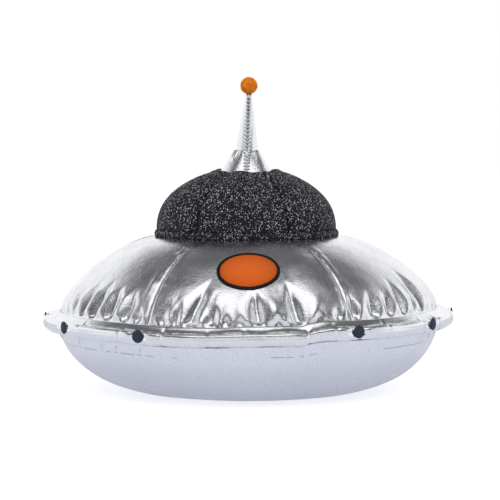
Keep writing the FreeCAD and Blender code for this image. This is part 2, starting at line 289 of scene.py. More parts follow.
def satin_finish(name, colour, direction):
    """Embroidery: close parallel threads with a soft gloss, and painted highlight and shade across each thread
    in the colour.
    """
    finish = Finish(name)
    pitch = 0.55 * MM
    wave = finish.add("ShaderNodeTexWave", {"wave_type": "BANDS", "bands_direction": direction},
                      Vector=finish.coords, Scale=WAVE_PITCH / pitch, Distortion=1.2, Detail=1.0)
    tint = Vector(colour)
    # painted highlight and shade: the colour is lighter on each thread's crown and darker in the grooves
    # between threads
    shade = finish.mix(wave.outputs["Fac"], tuple(tint * 0.62), tuple(tint * 1.1))
    uneven = finish.between(finish.noise(3 * MM), 0.3, 0.7, 0.5, 0.7)
    finish.surface(Base_Color=shade, Roughness=uneven, Normal=finish.bump(wave.outputs["Fac"], 0.14 * MM),
                   Specular_IOR_Level=0.25)
    return finish.material


def thread_finish(name, colour, roughness=0.45):
    """Twisted thread or cord, with painted shade in the grooves of its twist."""
    finish = Finish(name)
    twist = finish.add("ShaderNodeTexWave", {"wave_type": "BANDS", "bands_direction": "DIAGONAL"},
                       Vector=finish.coords, Scale=WAVE_PITCH / (0.35 * MM), Distortion=0.5).outputs["Fac"]
    tint = Vector(colour)
    # painted shade: the colour is darker in the twist's grooves, where its bump lies low
    finish.surface(Base_Color=finish.mix(twist, tuple(tint * 0.6), tuple(tint)), Roughness=roughness,
                   Normal=finish.bump(twist, 0.06 * MM), Sheen_Weight=0.2)
    return finish.material


def fibre_finish(name, colour, size, depth):
    """Loose or matted fibre, foam or pile: an uneven colour, darker in the hollows of its bump as painted
    shade, and a soft open surface.
    """
    finish = Finish(name)
    tint = Vector(colour)
    strands = finish.noise(size, 5, (1, 1, 0.35))
    # painted shade: the colour is darker where the strands' bump lies low
    shade = finish.mix(finish.between(strands, 0.3, 0.7), tuple(tint * 0.72), tuple(tint))
    finish.surface(Base_Color=shade, Roughness=0.95, Normal=finish.bump(strands, depth), Sheen_Weight=0.4)
    return finish.material


def pile_finish(name, colour):
    """Short loose pile, matt and a little clumped."""
    finish = Finish(name)
    tint = Vector(colour)
    clumps = finish.noise(1.6 * MM, 3)
    shade = finish.mix(finish.between(clumps, 0.3, 0.6), tuple(tint * 0.9), tuple(tint))
    finish.surface(Base_Color=shade, Roughness=0.9, Sheen_Weight=1.0, Sheen_Tint=(1, 0.45, 0.1, 1),
                   Normal=finish.bump(finish.noise(0.5 * MM, 2), 0.15 * MM))
    return finish.material


# ================================================================ outlines and relief
def wrap(turn):
    """An angle, or an array of them, brought between -pi and pi."""
    return (turn + math.pi) % math.tau - math.pi


def bearing_vector(bearing):
    return Vector((math.sin(bearing), -math.cos(bearing), 0))


class Outline:
    """A (radius, height) line that runs anticlockwise, from the base outwards, up and back in."""

    def __init__(self, points, smoothing=0):
        points = np.array(points, float)
        for _ in range(smoothing):
            points[1:-1] = (points[:-2] + 2 * points[1:-1] + points[2:]) / 4
        self.points = points
        self.along = np.concatenate([[0], np.cumsum(np.hypot(*np.diff(points, axis=0).T))])
        slope = np.gradient(points, self.along, axis=0)
        slope /= np.hypot(*slope.T)[:, None]
        self.outward = np.stack([slope[:, 1], -slope[:, 0]], axis=1)

    @property
    def length(self):
        return self.along[-1]

    def place(self, along):
        return np.stack([np.interp(along, self.along, self.points[:, k]) for k in (0, 1)], axis=-1)

    def direction(self, along):
        found = np.stack([np.interp(along, self.along, self.outward[:, k]) for k in (0, 1)], axis=-1)
        return found / np.hypot(found[..., 0], found[..., 1])[..., None]

    def spaced(self, steps):
        """Running lengths for a mesh's rows: steps is a list of (up to this length, row spacing)."""
        rows = [0.0]
        for limit, spacing in steps:
            limit = min(limit, self.length)
            count = max(1, round((limit - rows[-1]) / spacing))
            rows += list(np.linspace(rows[-1], limit, count + 1)[1:])
        return rows


def node_surface(node):
    """A CAD node's surface, ready for rays."""
    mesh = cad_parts[node].data
    return BVHTree.FromPolygons([v.co for v in mesh.vertices], [p.vertices for p in mesh.polygons])


def cast_outline(node, centre_z, angles, bearing=0.0):
    """The outside of a CAD node on one meridian, met by rays that aim at a point on the axis."""
    tree = node_surface(node)
    centre = Vector((0, 0, centre_z))
    reach = 1.0
    points = []
    for angle in angles:
        out = bearing_vector(bearing) * math.cos(angle) + UP * math.sin(angle)
        hit = tree.ray_cast(centre + out * reach, -out)[0]
        if hit:
            points.append((math.hypot(hit.x, hit.y), hit.z))
    return points


def degrees(start, stop, count):
    return [math.radians(angle) for angle in np.linspace(start, stop, count)]


def waves(bearing, along, seed, count, turns, span):
    """A smooth seamless undulation between about -1 and 1, from a few waves of chance phase."""
    chance = np.random.default_rng(seed)
    total = np.zeros_like(bearing)
    for _ in range(count):
        round_it = chance.integers(turns[0], turns[1] + 1)
        up_it = chance.uniform(-1, 1) * math.tau / span
        total += np.sin(round_it * bearing + up_it * along + chance.uniform(0, math.tau))
    return total / math.sqrt(count) * 0.8


def bell(distance, width):
    return np.exp(-((distance / width) ** 2))


def ramp(value, low, high):
    """0 below low, 1 above high, and smooth between."""
    share = np.clip((value - low) / (high - low), 0, 1)
    return share * share * (3 - 2 * share)


def lathe(outline, rows, columns):
    """The outline spun round the spire's axis, with its running length kept on each vertex."""
    bm = bmesh.new()
    layer = bm.verts.layers.float.new("along")
    line = []
    for along, (radius, height) in zip(rows, outline.place(np.array(rows))):
        vertex = bm.verts.new((radius, 0, height))
        vertex[layer] = along
        line.append(vertex)
    edges = [bm.edges.new(pair) for pair in zip(line, line[1:])]
    bmesh.ops.spin(bm, geom=line + edges, cent=(0, 0, 0), axis=UP, angle=math.tau,
                   steps=columns, use_merge=True)
    bmesh.ops.remove_doubles(bm, verts=bm.verts, dist=0.001 * MM)
    bmesh.ops.recalc_face_normals(bm, faces=bm.faces)
    return bm


def read_cloth(bm):
    """Each vertex's length along the outline, its place and its bearing."""
    layer = bm.verts.layers.float["along"]
    along = np.array([v[layer] for v in bm.verts])
    place = np.array([v.co for v in bm.verts])
    return along, place, wrap(np.arctan2(place[:, 1], place[:, 0]) - FRONT)


def move_cloth(bm, places):
    for vertex, co in zip(bm.verts, places):
        vertex.co = co


def carve(bm, outline, relief, waver=0.0):
    """Moves each vertex of a lathed mesh outwards by relief(bearing, along, radius)."""
    along, _, bearing = read_cloth(bm)
    base, out = outline.place(along), outline.direction(along)
    lift = relief(bearing, along, base[:, 0])
    radius, height = base[:, 0] + out[:, 0] * lift, base[:, 1] + out[:, 1] * lift
    x, y = radius * np.sin(bearing), -radius * np.cos(bearing)
    height = height + rim_sag(bearing, radius, height, waver)
    move_cloth(bm, np.stack([x, y, height], axis=1))


# ---- how far the soft rim rises or sinks: (bearing in degrees, rise in mm) ----
RIM_WAVER = (
    (-180, 0.0), (-130, -1.4), (-90, -2.2), (-55, -2.4), (-38, -2.6), (-24, -4.0), (-9, -3.7), (-1, -2.5),
    (12, -2.1), (14.5, -2.8), (17, -0.6), (21, 1.1), (33, 0.7), (55, 0.9), (90, 2.2), (130, 1.2), (180, 0.0),
)


def rim_sag(bearing, radius, height, amount):
    """The soft rim's rise or fall at a place; it fades out towards the dome and towards the floor."""
    fine = np.linspace(-math.pi, math.pi, 721)
    marks = np.array(RIM_WAVER)
    line = np.interp(np.degrees(fine), marks[:, 0], marks[:, 1])
    for _ in range(3):
        line = (np.roll(line, 1) + 2 * line + np.roll(line, -1)) / 4
    reach = ramp(radius, COVER_REACH * 0.6, COVER_REACH) * ramp(height - BASE_Z, 12 * MM, 58 * MM)
    return amount * MM * np.interp(bearing, fine, line) * reach


def settle(bm, outline, held, width, pressure, frames, most):
    """Cloth simulation: the cloth, cut wider than where it is sewn, settles over its filling.

    held and width give each row's hold and the width of its cut from the length along the outline.
    """
    along, start, _ = read_cloth(bm)
    turn = np.arctan2(start[:, 1], start[:, 0])
    flat = outline.place(along)
    wide = flat[:, 0] * width(along)
    cut = np.stack([wide * np.cos(turn), wide * np.sin(turn), flat[:, 1]], axis=1)
    mesh = bpy.data.meshes.new("trial")
    bm.to_mesh(mesh)
    trial = bpy.data.objects.new("trial", mesh)
    bpy.context.scene.collection.objects.link(trial)
    sewn = trial.vertex_groups.new(name="sewn")
    for index in np.nonzero(held(along))[0]:
        sewn.add([int(index)], 1.0, "REPLACE")
    trial.shape_key_add(name="Basis")
    pattern = trial.shape_key_add(name="cut")
    pattern.data.foreach_set("co", cut.ravel())
    pattern.value = 0
    cloth = trial.modifiers.new("Cloth", "CLOTH")
    cloth.settings.quality = 6
    cloth.settings.vertex_group_mass = "sewn"
    cloth.settings.rest_shape_key = pattern
    cloth.settings.tension_stiffness = cloth.settings.compression_stiffness = 15
    cloth.settings.shear_stiffness = 8
    cloth.settings.bending_stiffness = 0.5
    cloth.settings.use_pressure = True
    cloth.settings.uniform_pressure_force = pressure
    cloth.settings.effector_weights.gravity = 0
    cloth.collision_settings.use_collision = False
    cloth.point_cache.frame_end = frames
    for number in range(1, frames + 1):
        bpy.context.scene.frame_set(number)
    settled = trial.evaluated_get(bpy.context.evaluated_depsgraph_get()).to_mesh()
    place = np.empty(len(start) * 3)
    settled.vertices.foreach_get("co", place)
    move = place.reshape(-1, 3) - start
    length = np.linalg.norm(move, axis=1)[:, None] + 1e-9
    move_cloth(bm, start + move / length * most * np.tanh(length / most))
    bpy.context.scene.frame_set(1)
    bpy.data.objects.remove(trial)
    bpy.data.meshes.remove(mesh)


def nudge(bm, outline, relief, waver=0.0):
    """Adds a fine relief to a mesh that has already settled."""
    along, place, bearing = read_cloth(bm)
    radius = np.hypot(place[:, 0], place[:, 1])
    out = outline.direction(along)
    lift = relief(bearing, along, radius)
    place[:, 0] += out[:, 0] * lift * np.sin(bearing)
    place[:, 1] -= out[:, 0] * lift * np.cos(bearing)
    place[:, 2] += out[:, 1] * lift
    place[:, 2] += rim_sag(bearing, radius, place[:, 2], waver)
    move_cloth(bm, place)


def gore_sector(bm, index):
    """A copy of the mesh that keeps only one gore's faces."""
    gore = bm.copy()
    strangers = []
    for face in gore.faces:
        middle = face.calc_center_median()
        bearing = math.atan2(middle.y, middle.x) - FRONT - index * GORE_TURN
        if abs(wrap(bearing)) > GORE_TURN / 2:
            strangers.append(face)
    bmesh.ops.delete(gore, geom=strangers, context="FACES")
    return gore


def lean(bm, low_shift, high_shift=None, low=0.0, high=1.0, turn=0.0):
    """Turns a piece on the spire's axis and moves it sideways, further at one height than another."""
    if high_shift is None:
        high_shift = low_shift
    bmesh.ops.rotate(bm, matrix=Matrix.Rotation(turn, 3, "Z"), verts=bm.verts)
    for vertex in bm.verts:
        share = (vertex.co.z - low) / (high - low)
        vertex.co.x += low_shift + (high_shift - low_shift) * share


def seam_distance(bearing, radius):
    """How far round a place is from the nearest seam between gores: negative on its left."""
    return (bearing % GORE_TURN - GORE_TURN / 2) * radius


# ================================================================ pieces
def add_piece(name, bm, finish, nodes=(), cloth=0.0, smoother=0):
    """Turns a bmesh into a piece that rides on the toy, with its finish, and hides the CAD nodes that it
    replaces.
    """
    mesh = bpy.data.meshes.new(name)
    bm.to_mesh(mesh)
    bm.free()
    mesh.shade_smooth()
    mesh.materials.append(finish)
    piece = bpy.data.objects.new(name, mesh)
    bpy.context.scene.collection.objects.link(piece)
    if smoother:
        soft = piece.modifiers.new("Rounding", "SUBSURF")
        soft.levels = soft.render_levels = smoother
    if cloth:
        wall = piece.modifiers.new("Cloth", "SOLIDIFY")
        wall.thickness = cloth
        wall.offset = -1
        wall.use_even_offset = False
    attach(piece, "root")
    if nodes:
        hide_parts(*nodes)
    return piece


# ---- gathers across the front: (bearing in degrees, depth share, length and half width in mm, lean) ----
GATHERS = [
    (-85, 0.7, 30, 4.4, 0.0), (-78.5, 0.6, 26, 3.8, 0.0), (-72.5, 0.9, 38, 5.0, 0.1),
    (-66, 0.7, 32, 4.2, 0.1), (-59.8, 0.9, 40, 5.2, 0.15), (-53.4, 1.1, 42, 6.4, 0.2),
    (-45.6, 1.1, 38, 6.8, 0.1), (-38.4, 1.0, 36, 5.6, 0.05), (-33.6, 0.7, 18, 2.8, 0.0),
    (-25.0, 0.5, 15, 3.4, 0.0), (-21.2, 0.6, 26, 3.6, 0.1), (-17.4, 1.15, 52, 7.4, 0.3),
    (-10.6, 0.8, 34, 6.6, 0.0), (-6.4, 0.5, 15, 2.6, 0.0), (-2.2, 0.3, 10, 3.0, 0.0),
    (3.2, 1.15, 40, 7.0, -0.15), (8.6, 0.35, 12, 2.6, 0.0), (14.6, 1.3, 48, 9.4, -0.15),
    (20.4, 0.3, 11, 2.6, 0.0), (26.6, 0.5, 14, 3.0, 0.0), (32.5, 1.0, 28, 3.8, -0.05),
    (39.6, 0.9, 30, 5.6, 0.0), (46.0, 0.8, 28, 4.6, 0.0), (52.6, 1.0, 40, 4.8, 0.0),
    (58.5, 0.5, 24, 3.6, 0.0), (64.6, 1.15, 52, 5.4, -0.1), (71, 0.6, 30, 4.2, 0.0),
    (77.5, 0.8, 34, 4.5, 0.0),
]


def all_gathers():
    """The front's gathers, and others like them round the back, uneven in the same way."""
    chance = np.random.default_rng(11)
    folds = [(math.radians(place), share, reach * MM, half * MM, lean)
             for place, share, reach, half, lean in GATHERS]
    bearing = 83.0
    while bearing < 272:
        reach = chance.uniform(14, 48)
        folds.append((math.radians(bearing), chance.uniform(0.4, 0.7) + reach / 110, reach * MM,
                      (2 + reach * chance.uniform(0.06, 0.12)) * MM, chance.uniform(-0.2, 0.2)))
        bearing += chance.uniform(4.0, 7.6)
    return folds


def gather_lift(bearing, up, radius, deepest):
    """Leaf-shaped hollows that start at the rim seam, with a crest on each side of them."""
    lift = np.zeros_like(bearing)
    for place, share, reach, half, lean in all_gathers():
        near = wrap(bearing - place - lean * np.clip(up, 0, None) / COVER_REACH) * radius
        rise = np.clip(up / reach, 0, 1)
        width = half * (0.42 + 0.58 * np.sin(np.pi * rise ** 0.75)) * (1 - rise ** 5) + 0.2 * MM
        depth = deepest * share * (1 - rise ** 2)
        depth *= 0.55 + 0.45 * np.sin(np.pi * np.clip(rise / 0.8, 0, 1))
        off = np.abs(near) / width
        lift += 0.22 * depth * bell(off - 1.9, 0.8) - depth * np.exp(-off ** 2.1)
    return lift


def gore_seam_lift(bearing, radius, depth):
    """Sewn seams: a sharp valley between two ridges, with a second ridge where the allowance lies."""
    side = seam_distance(bearing, radius)
    seam = np.round(bearing / GORE_TURN - 0.5)
    heavy = 0.55 + 0.45 * np.cos(seam * 2.1)
    ridges = bell(side - 2.3 * MM, 1.1 * MM) + bell(side + 2.3 * MM, 1.1 * MM)
    allowance = bell(side - 5.4 * MM, 1.3 * MM) * heavy
    return depth * (0.5 * ridges * (0.5 + heavy / 2) + 0.4 * allowance - 0.9 * bell(side, 1.0 * MM))


def top_cover_relief(outline, seam_at):
    """The swell and the gathers of the top cover, before it settles."""
    size = sizes()

    def relief(bearing, along, radius):
        up = along - seam_at
        open_cloth = ramp(up, 0, 4 * MM)
        stretch = ramp(outline.length - along, 60 * MM, 100 * MM)
        puff = size.rim_puff * np.sin(np.pi * np.clip(up / (50 * MM), 0, 1) ** 0.7)
        puff *= 1 + 0.5 * waves(bearing, along, 3, 5, (9, 26), 0.3)
        lift = (puff + gather_lift(bearing, up, radius, size.gather_depth)) * open_cloth
        side = np.abs(seam_distance(bearing, radius))
        lift -= 1.0 * MM * ramp(side, 18 * MM, 0) * ramp(up, 10 * MM, 40 * MM) * stretch
        return lift + 0.8 * MM * waves(bearing, along, 5, 7, (3, 14), 0.12) * open_cloth * stretch

    return relief


def top_cover_seams(outline, seam_at):
    """The gores' seams, their puckers, and the roll of cloth that leans on the front left seam."""
    size = sizes()

    def relief(bearing, along, radius):
        up = along - seam_at
        side = seam_distance(bearing, radius)
        taut = ramp(outline.length - along, 60 * MM, 85 * MM) * ramp(up, 0, 4 * MM)
        pucker = waves(bearing, along, 7, 4, (6, 10), 0.011) * bell(side, 7 * MM)
        lift = (gore_seam_lift(bearing, radius, size.seam_depth) + 0.28 * MM * pucker) * taut
        off = wrap(bearing + GORE_TURN / 2) * radius
        roll = 1.5 * MM * bell(off + 7.5 * MM, 4.2 * MM) * bell(up - 36 * MM, 24 * MM)
        return lift + roll * taut

    return relief


class SAUCER_OT_top_cover(bpy.types.Operator):
    """Six foil gores, gathered where the rim band takes them in"""

    bl_idname = "saucer.top_cover"
    bl_label = "Top cover"

    def execute(self, context):
        size = sizes()
        points = cast_outline("upper_gore_front", RIM_Z, degrees(0.2, 38.5, 260))
        under_dome = np.linspace(88 * MM, -GORE_HIGH.y, 30)
        points = points[2:] + [(radius, GORE_HIGH.z) for radius in under_dome]
        outline = Outline(points, smoothing=6)
        seam_at = float(np.interp(BAND_HIGH.z, outline.points[:, 1], outline.along))
        dome_at = outline.length - 70 * MM
        rows = outline.spaced([(seam_at, 1.2 * MM), (dome_at, 2.2 * MM), (outline.length, 14 * MM)])
        bm = lathe(outline, rows, 480)
        carve(bm, outline, top_cover_relief(outline, seam_at))
        settle(bm, outline, held=lambda along: (along < seam_at + 0.3 * MM) | (along > dome_at),
               width=lambda along: 1 + 0.09 * ramp(along, seam_at + 50 * MM, seam_at),
               pressure=70, frames=12, most=3 * MM)
        nudge(bm, outline, top_cover_seams(outline, seam_at), size.rim_waver)
        finish = foil_finish("foil_top")
        for index, name in enumerate(GORE_NAMES):
            gore = gore_sector(bm, index)
            add_piece("top_gore_" + name, gore, finish, ["upper_gore_" + name],
                      size.foil_thickness, smoother=1)
        bm.free()
        return {"FINISHED"}


# ---- creases under the band: (bearing in degrees, depth and length in mm, lean) ----
LOWER_CREASES = [(-48, 1.6, 24, 0.5), (-42, 1.9, 28, 0.6), (-33, 2.2, 30, 0.5), (-26, 2.6, 36, 0.6),
                 (-9.4, 2.0, 24, 0.2), (3.5, 1.2, 18, 0.0), (15.5, 2.4, 38, -0.5), (22, 1.2, 18, -0.3),
                 (29, 1.8, 26, -0.4), (41, 2.0, 28, -0.5), (54, 1.8, 24, -0.5), (-60, 1.5, 24, 0.4)]


def lower_cover_relief(outline):
    chance = np.random.default_rng(23)
    puckers = [(math.radians(place), depth * MM, reach * MM, lean)
               for place, depth, reach, lean in LOWER_CREASES]
    bearing = 62.0
    while bearing < 294:
        puckers.append((math.radians(bearing), chance.uniform(0.8, 2.2) * MM,
                        chance.uniform(16, 40) * MM, chance.uniform(-0.5, 0.5)))
        bearing += chance.uniform(6, 13)

    def relief(bearing, along, radius):
        down = outline.length - along
        lift = np.zeros_like(bearing)
        for place, depth, reach, lean in puckers:
            near = wrap(bearing - place - lean * down / COVER_REACH) * radius
            rise = np.clip(down / reach, 0, 1)
            lift -= depth * (1 - rise) * ramp(down, 0, 6 * MM) * bell(near, (1.3 + 0.8 * rise) * MM)
            lift += 0.3 * depth * (1 - rise) * bell(np.abs(near) - 4 * MM, 2.4 * MM)
        off_floor = ramp(along, 95 * MM, 150 * MM)
        lift += 0.9 * MM * waves(bearing, along, 29, 6, (2, 9), 0.16) * off_floor * ramp(down, 0, 25 * MM)
        return lift

    return relief


class SAUCER_OT_lower_cover(bpy.types.Operator):
    """The round foil cover underneath, faintly puckered below the rim band"""

    bl_idname = "saucer.lower_cover"
    bl_label = "Lower cover"

    def execute(self, context):
        size = sizes()
        points = cast_outline("lower_cover", BAND_LOW.z, degrees(-89.6, 3.5, 240))
        outline = Outline([(0, BASE_Z)] + points, smoothing=6)
        rows = outline.spaced([(80 * MM, 10 * MM), (150 * MM, 4 * MM), (outline.length, 1.8 * MM)])
        bm = lathe(outline, rows, 560)
        carve(bm, outline, lower_cover_relief(outline), size.rim_waver)
        finish = foil_finish("foil_lower", 0.3, 0.04, (0.99, 0.99, 1.0), 0.2)
        add_piece("lower_cover_cloth", bm, finish, ["lower_cover"], size.foil_thickness)
        return {"FINISHED"}


# ---- creases and joins across the band: (bearing in degrees, depth share, width in mm) ----
BAND_CREASES = [(-1.2, 1.0, 0.9), (-10.8, 0.8, 0.8), (-23.5, 1.1, 1.1), (16.2, 1.3, 1.5), (23.5, 1.0, 1.0),
                (55.0, 0.5, 0.8), (-52.0, 0.5, 0.9), (-36.0, 0.5, 1.2), (40.0, 0.6, 1.0), (8.4, 0.4, 0.8)]


def band_relief(outline, shoulder_at, heel_at):
    chance = np.random.default_rng(31)
    creases = [(math.radians(place), 1.5 * share * MM, width * MM) for place, share, width in BAND_CREASES]
    bearing = 64.0
    while bearing < 296:
        creases.append((math.radians(bearing), chance.uniform(0.3, 1.0) * MM,
                        chance.uniform(0.8, 1.4) * MM))
        bearing += chance.uniform(7, 16)
    face_mid = (shoulder_at + heel_at) / 2

    def relief(bearing, along, radius):
        out = ramp(radius, COVER_REACH + 2 * MM, COVER_REACH + 10 * MM)
        lift = 0.5 * MM * out * waves(bearing, along, 37, 6, (8, 30), 0.05)
        rise = np.clip(along - face_mid, -6 * MM, 8.5 * MM)
        lift -= rise ** 2 / (26 * MM) * np.where(rise < 0, 0.55, 1) * out
        lift += 0.7 * MM * bell(along - (outline.length - 3.5 * MM), 1.6 * MM)
        lift += 2.2 * MM * bell(along - heel_at * 0.7, 4.5 * MM)
        for place, depth, width in creases:
            lift -= depth * bell(wrap(bearing - place) * radius, width) * out * ramp(along, 4 * MM, 16 * MM)
        taut = ramp(np.abs(bearing + 0.02), 0.34, 0.26)
        lift -= 2.2 * MM * bell(along - (shoulder_at + 2.4 * MM), 1.6 * MM) * taut * out
        stitch = bell(along - face_mid, 0.5 * MM) + 0.6 * bell(along - (shoulder_at + 6 * MM), 0.5 * MM)
        lift -= 0.22 * MM * stitch * out
        for number in range(1, len(BUTTON_NODES) + 1):
            near = wrap(bearing - number * BUTTON_TURN) * radius
            away = np.hypot(near, along - face_mid)
            around = np.arctan2(along - face_mid, near)
            lift -= 4.3 * MM * bell(away, 7.2 * MM)
            lift += 0.28 * MM * np.sin(7 * around + number) * bell(away - 9.5 * MM, 4.5 * MM) * out
        return lift

    return relief


def band_points():
    """The band's section: lower seam, rounded heel, face, shoulder and the strip to the top seam."""
    tree = node_surface("rim_band")
    out = bearing_vector(BUTTON_TURN / 2)
    origin = out * ((RIM_RADIUS + COVER_REACH) / 2) + UP * RIM_Z
    points = []
    for angle in degrees(-180, 180, 720):
        aim = out * math.cos(angle) + UP * math.sin(angle)
        hit = tree.ray_cast(origin + aim * 40 * MM, -aim, 40 * MM)[0]
        if hit and abs(angle) < math.radians(160):
            points.append((math.hypot(hit.x, hit.y), hit.z))
    return points


class SAUCER_OT_rim_band(bpy.types.Operator):
    """The padded band round the rim, creased at its joins and dimpled at each button"""

    bl_idname = "saucer.rim_band"
    bl_label = "Rim band"

    def execute(self, context):
        size = sizes()
        sharp = Outline(band_points(), smoothing=3)
        even = sharp.place(np.linspace(0, sharp.length, 200))
        firm, soft = Outline(even, smoothing=22).points, Outline(even, smoothing=90).points
        upper = ramp(firm[:, 1], RIM_Z - 4 * MM, RIM_Z + 2 * MM)[:, None]
        outline = Outline(firm + (soft - firm) * upper)
        face = outline.along[outline.points[:, 0] > outline.points[:, 0].max() - 0.5 * MM]
        rows = outline.spaced([(outline.length, 0.9 * MM)])
        bm = lathe(outline, rows, 720)
        carve(bm, outline, band_relief(outline, face[-1], face[0]), size.rim_waver)
        finish = foil_finish("foil_band", 0.2, 0.1, (1, 1, 1), 0.45)
        add_piece("rim_band_cloth", bm, finish, ["rim_band"], size.foil_thickness)
        return {"FINISHED"}


class SAUCER_OT_rim_buttons(bpy.types.Operator):
    """Cloth-covered buttons that tuft the rim band"""

    bl_idname = "saucer.rim_buttons"
    bl_label = "Rim buttons"

    def execute(self, context):
        radius = (BUTTON_HIGH.z - BUTTON_LOW.z) / 2
        rise = BUTTON_HIGH.x - BUTTON_LOW.x
        middle_z = (BUTTON_HIGH.z + BUTTON_LOW.z) / 2
        profile = [(0, 0), (radius * 0.9, 0), (radius * 0.98, rise * 0.12), (radius, rise * 0.3),
                   (radius * 0.96, rise * 0.52), (radius * 0.8, rise * 0.78), (radius * 0.5, rise * 0.96),
                   (radius * 0.22, rise), (0, rise * 0.97)]
        finish = woven_finish("button_cloth", colours().button, 0.7 * MM)
        for number, node in enumerate(BUTTON_NODES, 1):
            bm = lathe(Outline(profile), list(Outline(profile).along), 36)
            out = bearing_vector(number * BUTTON_TURN)
            centre = out * BUTTON_LOW.x + UP * middle_z
            bearing = wrap(number * BUTTON_TURN)
            centre.z += float(rim_sag(bearing, RIM_RADIUS, centre.z, sizes().rim_waver))
            turn = out.to_track_quat("Z", "Y").to_matrix().to_4x4()
            bmesh.ops.transform(bm, matrix=Matrix.Translation(centre) @ turn, verts=bm.verts)
            add_piece(f"button_{number:02d}", bm, finish, [node], smoother=2)
        return {"FINISHED"}


# ---- emblem ----
def patch_frame():
    """Where the patch lies: its centre on the cover, and its right, up and outward directions."""
    low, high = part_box("emblem_fill")
    centre = (low + high) / 2
    slope = math.atan2(high.z - low.z, high.y - low.y)
    up = Vector((0, math.cos(slope), math.sin(slope)))
    right = Vector((1, 0, 0))
    return centre, right, up, right.cross(up), (high.x - low.x) / 2, (high - low).yz.length / 2


def press_on_cover(bm):
    """Lays a mesh, drawn in the patch's own plane, on the front gore, and keeps its thickness."""
    graph = bpy.context.evaluated_depsgraph_get()
    tree = BVHTree.FromObject(bpy.data.objects["top_gore_front"], graph)
    centre, right, up, out, _, _ = patch_frame()
    for vertex in bm.verts:
        flat = centre + right * vertex.co.x + up * vertex.co.y
        hit = tree.ray_cast(flat + out * 30 * MM, -out)[0]
        vertex.co = hit + out * vertex.co.z


class SAUCER_OT_emblem(bpy.types.Operator):
    """A plain embroidered oval with a raised satin edge"""

    bl_idname = "saucer.emblem"
    bl_label = "Emblem patch"

    def execute(self, context):
        wide, high = patch_frame()[4:]
        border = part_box("emblem_border")[1].x - wide
        bm = bmesh.new()
        bmesh.ops.create_circle(bm, cap_ends=True, segments=160, radius=1)
        for _ in range(24):
            faces = [face for face in bm.faces if len(face.verts) > 4]
            bmesh.ops.inset_region(bm, faces=faces, thickness=0.04)
        bmesh.ops.poke(bm, faces=[face for face in bm.faces if len(face.verts) > 4])
        bmesh.ops.scale(bm, vec=(wide + border / 2, high + border / 2, 1), verts=bm.verts)
        for vertex in bm.verts:
            reach = math.hypot(vertex.co.x / wide, vertex.co.y / high)
            padding = 0.9 * MM * max(0, 1 - reach ** 4)
            vertex.co.z = 0.9 * MM + padding + 0.1 * MM * math.sin(vertex.co.x / MM * 1.9)
        press_on_cover(bm)
        add_piece("emblem_patch", bm, satin_finish("patch_thread", colours().patch, "X"),
                  ["emblem_fill"], 0.6 * MM)
        ring = self.border_ring(wide + border / 2, high + border / 2, border)
        add_piece("emblem_edge", ring, satin_finish("border_thread", colours().border, "DIAGONAL"),
                  ["emblem_border"])
        return {"FINISHED"}

    def border_ring(self, wide, high, border):
        """A half-round ridge of satin stitches along the oval's edge."""
        stitches = 220
        ridge = bmesh.new()
        bmesh.ops.create_circle(ridge, segments=12, radius=border / 2)
        bmesh.ops.rotate(ridge, matrix=Matrix.Rotation(math.pi / 2, 3, "X"), verts=ridge.verts)
        bmesh.ops.translate(ridge, vec=(1, 0, 0), verts=ridge.verts)
        bmesh.ops.spin(ridge, geom=ridge.verts[:] + ridge.edges[:], cent=(0, 0, 0), axis=UP,
                       angle=math.tau, steps=stitches, use_merge=True)
        bmesh.ops.recalc_face_normals(ridge, faces=ridge.faces)
        for vertex in ridge.verts:
            turn = math.atan2(vertex.co.y, vertex.co.x)
            off = math.hypot(vertex.co.x, vertex.co.y) - 1
            number = round((turn + math.pi) / math.tau * stitches)
            normal = Vector((math.cos(turn) / wide, math.sin(turn) / high)).normalized()
            height = 0.9 * MM + 0.5 * vertex.co.z * (1.1 if number % 2 else 0.9)
            across = math.cos(turn) * wide + normal.x * off
            vertex.co = (across, math.sin(turn) * high + normal.y * off, height)
        press_on_cover(ridge)
        return ridge


# ---- dome ----
DOME_SHIFT = -2.0 * MM
DOME_TURN = math.radians(-2.7)


def dome_relief(outline):
    def relief(bearing, along, radius):
        side = seam_distance(bearing, radius)
        lift = -3.0 * MM * bell(side, 1.6 * MM)
        lift += 1.5 * MM * (1 - bell(side, 15 * MM)) * ramp(along, 0, 30 * MM)
        lift += 0.7 * MM * waves(bearing, along, 41, 6, (3, 11), 0.09)
        lip = ramp(along, outline.length - 14 * MM, outline.length - 4 * MM)
        lift += lip * MM * (1.2 * np.abs(np.sin(bearing)) ** 3
                            + 0.5 * waves(bearing, along, 43, 4, (3, 9), 0.5))
        return lift * ramp(along, 0, 2 * MM)

    return relief


class SAUCER_OT_dome(bpy.types.Operator):
    """Six glitter gores that curl in round the foot of the spire"""

    bl_idname = "saucer.dome"
    bl_label = "Dome"

    def execute(self, context):
        size = sizes()
        points = cast_outline("dome_gore_front", DOME_LOW.z, degrees(0.4, 61.2, 220))
        crest = max(points, key=lambda point: point[1])
        points = [point for point in points if point[0] >= crest[0]]
        curl = [(1.2, 0.1), (2.4, -0.4), (3.2, -1.3), (3.5, -2.5)]
        points += [(crest[0] - run * MM, crest[1] + rise * MM) for run, rise in curl]
        points = [(points[0][0], points[0][1] - 1.2 * MM)] + points
        outline = Outline(points, smoothing=5)
        bm = lathe(outline, outline.spaced([(outline.length, 1.8 * MM)]), 300)
        carve(bm, outline, dome_relief(outline))
        finish = glitter_finish("glitter_dome")
        for index, name in enumerate(GORE_NAMES):
            gore = gore_sector(bm, index)
            lean(gore, DOME_SHIFT, turn=DOME_TURN)
            add_piece("glitter_gore_" + name, gore, finish, ["dome_gore_" + name],
                      size.glitter_thickness)
        bm.free()
        return {"FINISHED"}


